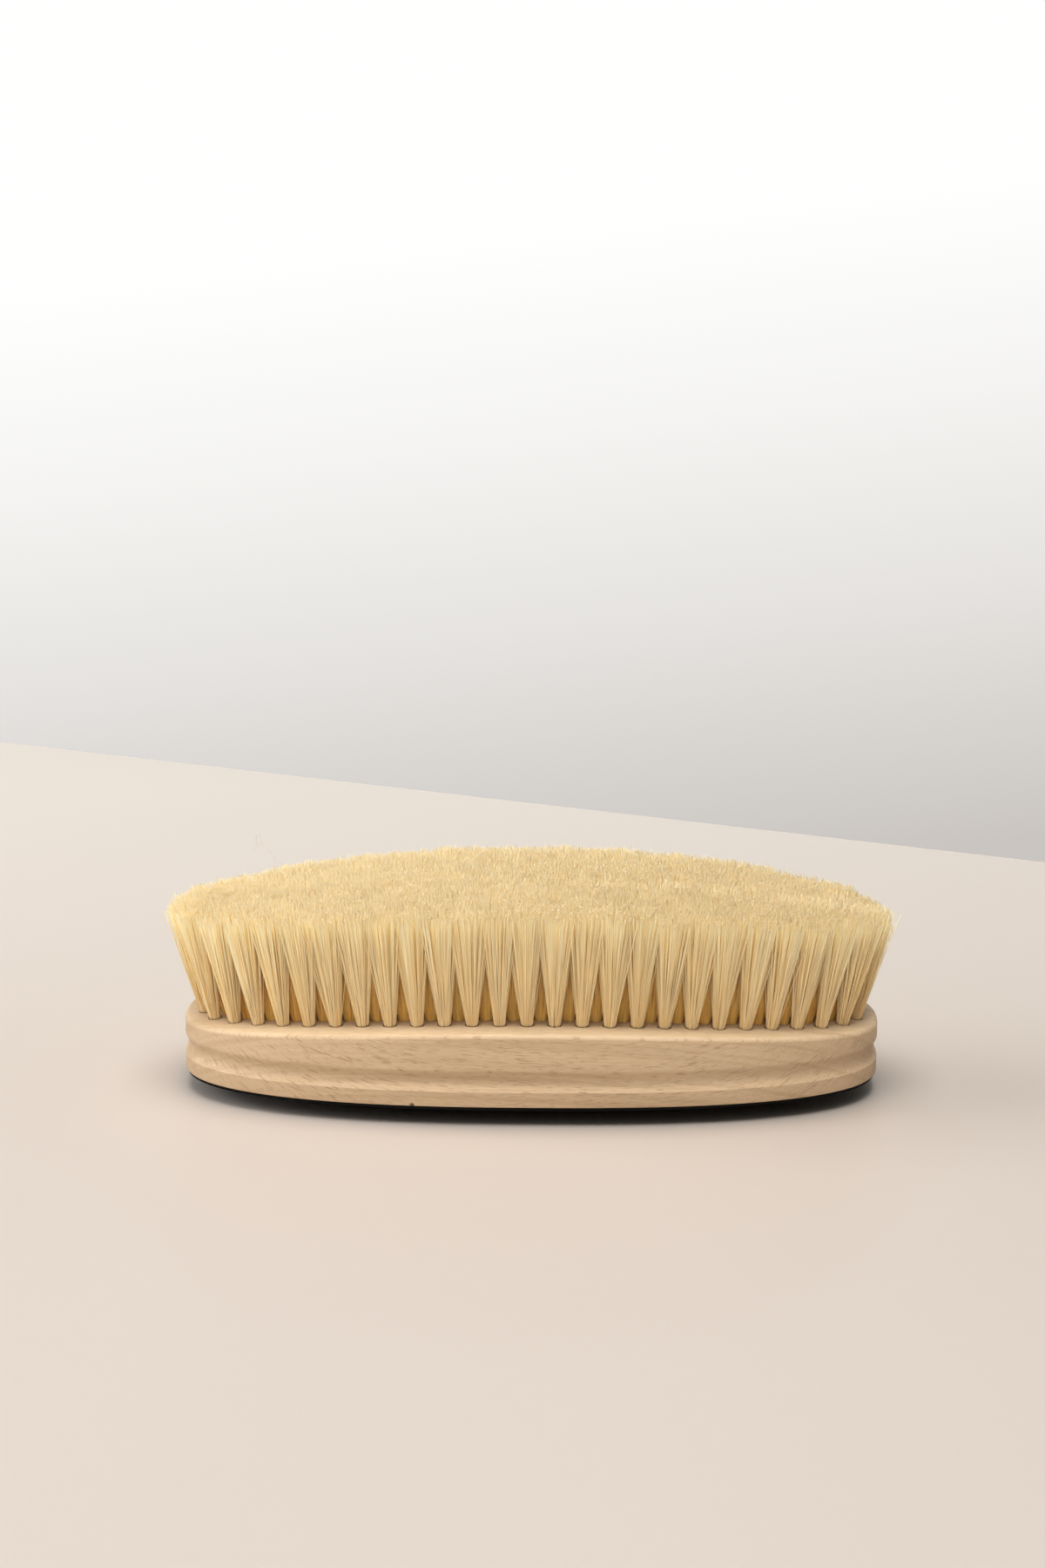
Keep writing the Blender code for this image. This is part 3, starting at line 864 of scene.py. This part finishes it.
def make_camera():
    """Camera turned so that the middle of the block's base falls on its pixel of the photograph."""
    middle = Vector((0, 0, BASE))
    back = Vector((0, -math.cos(CAMERA_ELEVATION), math.sin(CAMERA_ELEVATION)))
    data = bpy.data.cameras.new("camera")
    data.sensor_width = SENSOR
    data.lens = FOCAL_PIXELS * SENSOR / PHOTO_HEIGHT
    data.clip_start, data.clip_end = CAMERA_CLIP
    camera = link(bpy.data.objects.new("camera", data))
    camera.location = middle + back * CAMERA_DISTANCE
    straight = (-back).to_track_quat("-Z", "Y")
    pitch = math.atan((BASE_PIXEL[1] - PHOTO_HEIGHT / 2) / FOCAL_PIXELS)
    yaw = math.atan((BASE_PIXEL[0] - PHOTO_WIDTH / 2) / FOCAL_PIXELS)
    turn = Quaternion((1, 0, 0), pitch) @ Quaternion((0, 1, 0), yaw) @ Quaternion((0, 0, 1), CAMERA_ROLL)
    camera.rotation_mode = "QUATERNION"
    camera.rotation_quaternion = straight @ turn
    bpy.context.scene.camera = camera


def table_material():
    """Pale paint, a little darker round the brush than in front of it and behind it; the lighter back is a
    painted sheen.
    """
    material = bpy.data.materials.new("table_paint_and_sheen")
    nodes = Nodes(material)
    where = nodes.add("ShaderNodeTexCoord")
    depth = nodes.add("ShaderNodeSeparateXYZ")
    nodes.link(where.outputs["Object"], depth.inputs["Vector"])
    share = nodes.math("ADD", nodes.math("DIVIDE", depth.outputs["Y"], TABLE_TONE_REACH), 0.5)
    mottle = nodes.greys(nodes.noise(nodes.stretched(TABLE_MOTTLE_RATE)), (0.3, 0.985), (0.7, 1.0))
    nodes.surface(nodes.times(nodes.ramp(share, TABLE_TONES_AND_SHEEN), mottle), 0.5, 0.35)
    return material


def make_table():
    """Table top with a slanting, slightly rounded back edge."""
    left = Vector((*TABLE_EDGE_LEFT, 0))
    right = Vector((*TABLE_EDGE_RIGHT, 0))
    along = (right - left).normalized()
    away = Vector((-along.y, along.x, 0))
    far_left = left - along * TABLE_REACH
    far_right = right + along * TABLE_REACH
    outline = [far_left - away * TABLE_REACH, far_right - away * TABLE_REACH, far_right, far_left]
    shape = bmesh.new()
    upper = [shape.verts.new(corner) for corner in outline]
    lower = [shape.verts.new(corner - Vector((0, 0, TABLE_THICKNESS))) for corner in outline]
    shape.faces.new(upper)
    shape.faces.new(reversed(lower))
    for step in range(len(outline)):
        shape.faces.new((lower[step], lower[step - 3], upper[step - 3], upper[step]))
    table = object_from_bmesh("table", shape)
    rounding = table.modifiers.new("rounding", "BEVEL")
    rounding.width = TABLE_EDGE_ROUNDING
    rounding.segments = 4
    table.data.materials.append(table_material())
    return table


def backdrop_material():
    """A glow that fades from white down to grey, seen by the camera and in a gloss but giving no light."""
    material = bpy.data.materials.new("backdrop_paint")
    nodes = Nodes(material)
    where = nodes.add("ShaderNodeNewGeometry")
    rise = nodes.add("ShaderNodeVectorMath", operation="DOT_PRODUCT")
    rise.inputs[1].default_value = (-BACKDROP_TILT, 0, 1)
    nodes.link(where.outputs["Position"], rise.inputs[0])
    scaled = nodes.add("ShaderNodeMapRange")
    scaled.inputs["From Min"].default_value = BACKDROP_LOW
    scaled.inputs["From Max"].default_value = BACKDROP_HIGH
    nodes.link(rise.outputs["Value"], scaled.inputs["Value"])
    glow = nodes.add("ShaderNodeEmission")
    nodes.link(nodes.ramp(scaled.outputs["Result"], BACKDROP_TONES), glow.inputs["Color"])
    clear = nodes.add("ShaderNodeBsdfTransparent")
    nodes.choose(nodes.shown_rays(), clear.outputs["BSDF"], glow.outputs["Emission"], "Material Output")
    return material


def make_backdrop():
    shape = bmesh.new()
    bmesh.ops.create_grid(shape, x_segments=1, y_segments=1, size=BACKDROP_REACH)
    backdrop = object_from_bmesh("backdrop", shape)
    backdrop.rotation_euler = (math.pi / 2, 0, 0)
    backdrop.location = (0, BACKDROP_DISTANCE, 0)
    backdrop.data.materials.append(backdrop_material())
    return backdrop


def make_stage():
    """Pale table, and a backdrop that fades from white down to grey."""
    table = make_table()
    backdrop = make_backdrop()


def area_light(name, place, size, power, colour=(1, 1, 1), receivers=None):
    """Square lamp turned to the brush, lighting only the receivers if there are any."""
    data = bpy.data.lights.new(name, "AREA")
    data.shape = "SQUARE"
    data.size = size
    data.energy = power
    data.color = colour
    lamp = link(bpy.data.objects.new(name, data))
    lamp.location = place
    lamp.rotation_mode = "QUATERNION"
    lamp.rotation_quaternion = (-Vector(place)).to_track_quat("-Z", "Y")
    if receivers:
        lamp.light_linking.receiver_collection = receivers


def make_lamps(brush):
    """Broad light from above and from the left, and the fills, which reach the brush's pieces alone."""
    lit = bpy.data.collections.new("lit_by_fills")
    for piece in brush:
        lit.objects.link(piece)
    for lamp in LAMPS:
        area_light(**lamp)
    for fill in FILLS:
        area_light(**fill, receivers=lit)


def make_world():
    """Light that grows towards the zenith, and a plain pale room where the world itself is seen."""
    world = bpy.data.worlds.new("room")
    bpy.context.scene.world = world
    nodes = Nodes(world)
    where = nodes.add("ShaderNodeTexCoord")
    rise = nodes.add("ShaderNodeSeparateXYZ")
    nodes.link(where.outputs["Generated"], rise.inputs["Vector"])
    square = nodes.math("MULTIPLY", rise.outputs["Z"], rise.outputs["Z"])
    sky = nodes.tree.nodes["Background"]
    nodes.link(nodes.ramp(square, SKY_TONES), sky.inputs["Color"])
    nodes.feed(SKY_STRENGTH, sky.inputs["Strength"])
    room = nodes.add("ShaderNodeBackground")
    nodes.feed(ROOM_COLOUR, room.inputs["Color"])
    nodes.choose(nodes.shown_rays(), sky.outputs["Background"], room.outputs["Background"], "World Output")


def set_view():
    bpy.context.scene.view_settings.view_transform = "Standard"
    bpy.context.scene.cycles.diffuse_bounces = BOUNCES


make_camera()
pieces = make_brush()
make_stage()
make_lamps(pieces)
make_world()
set_view()
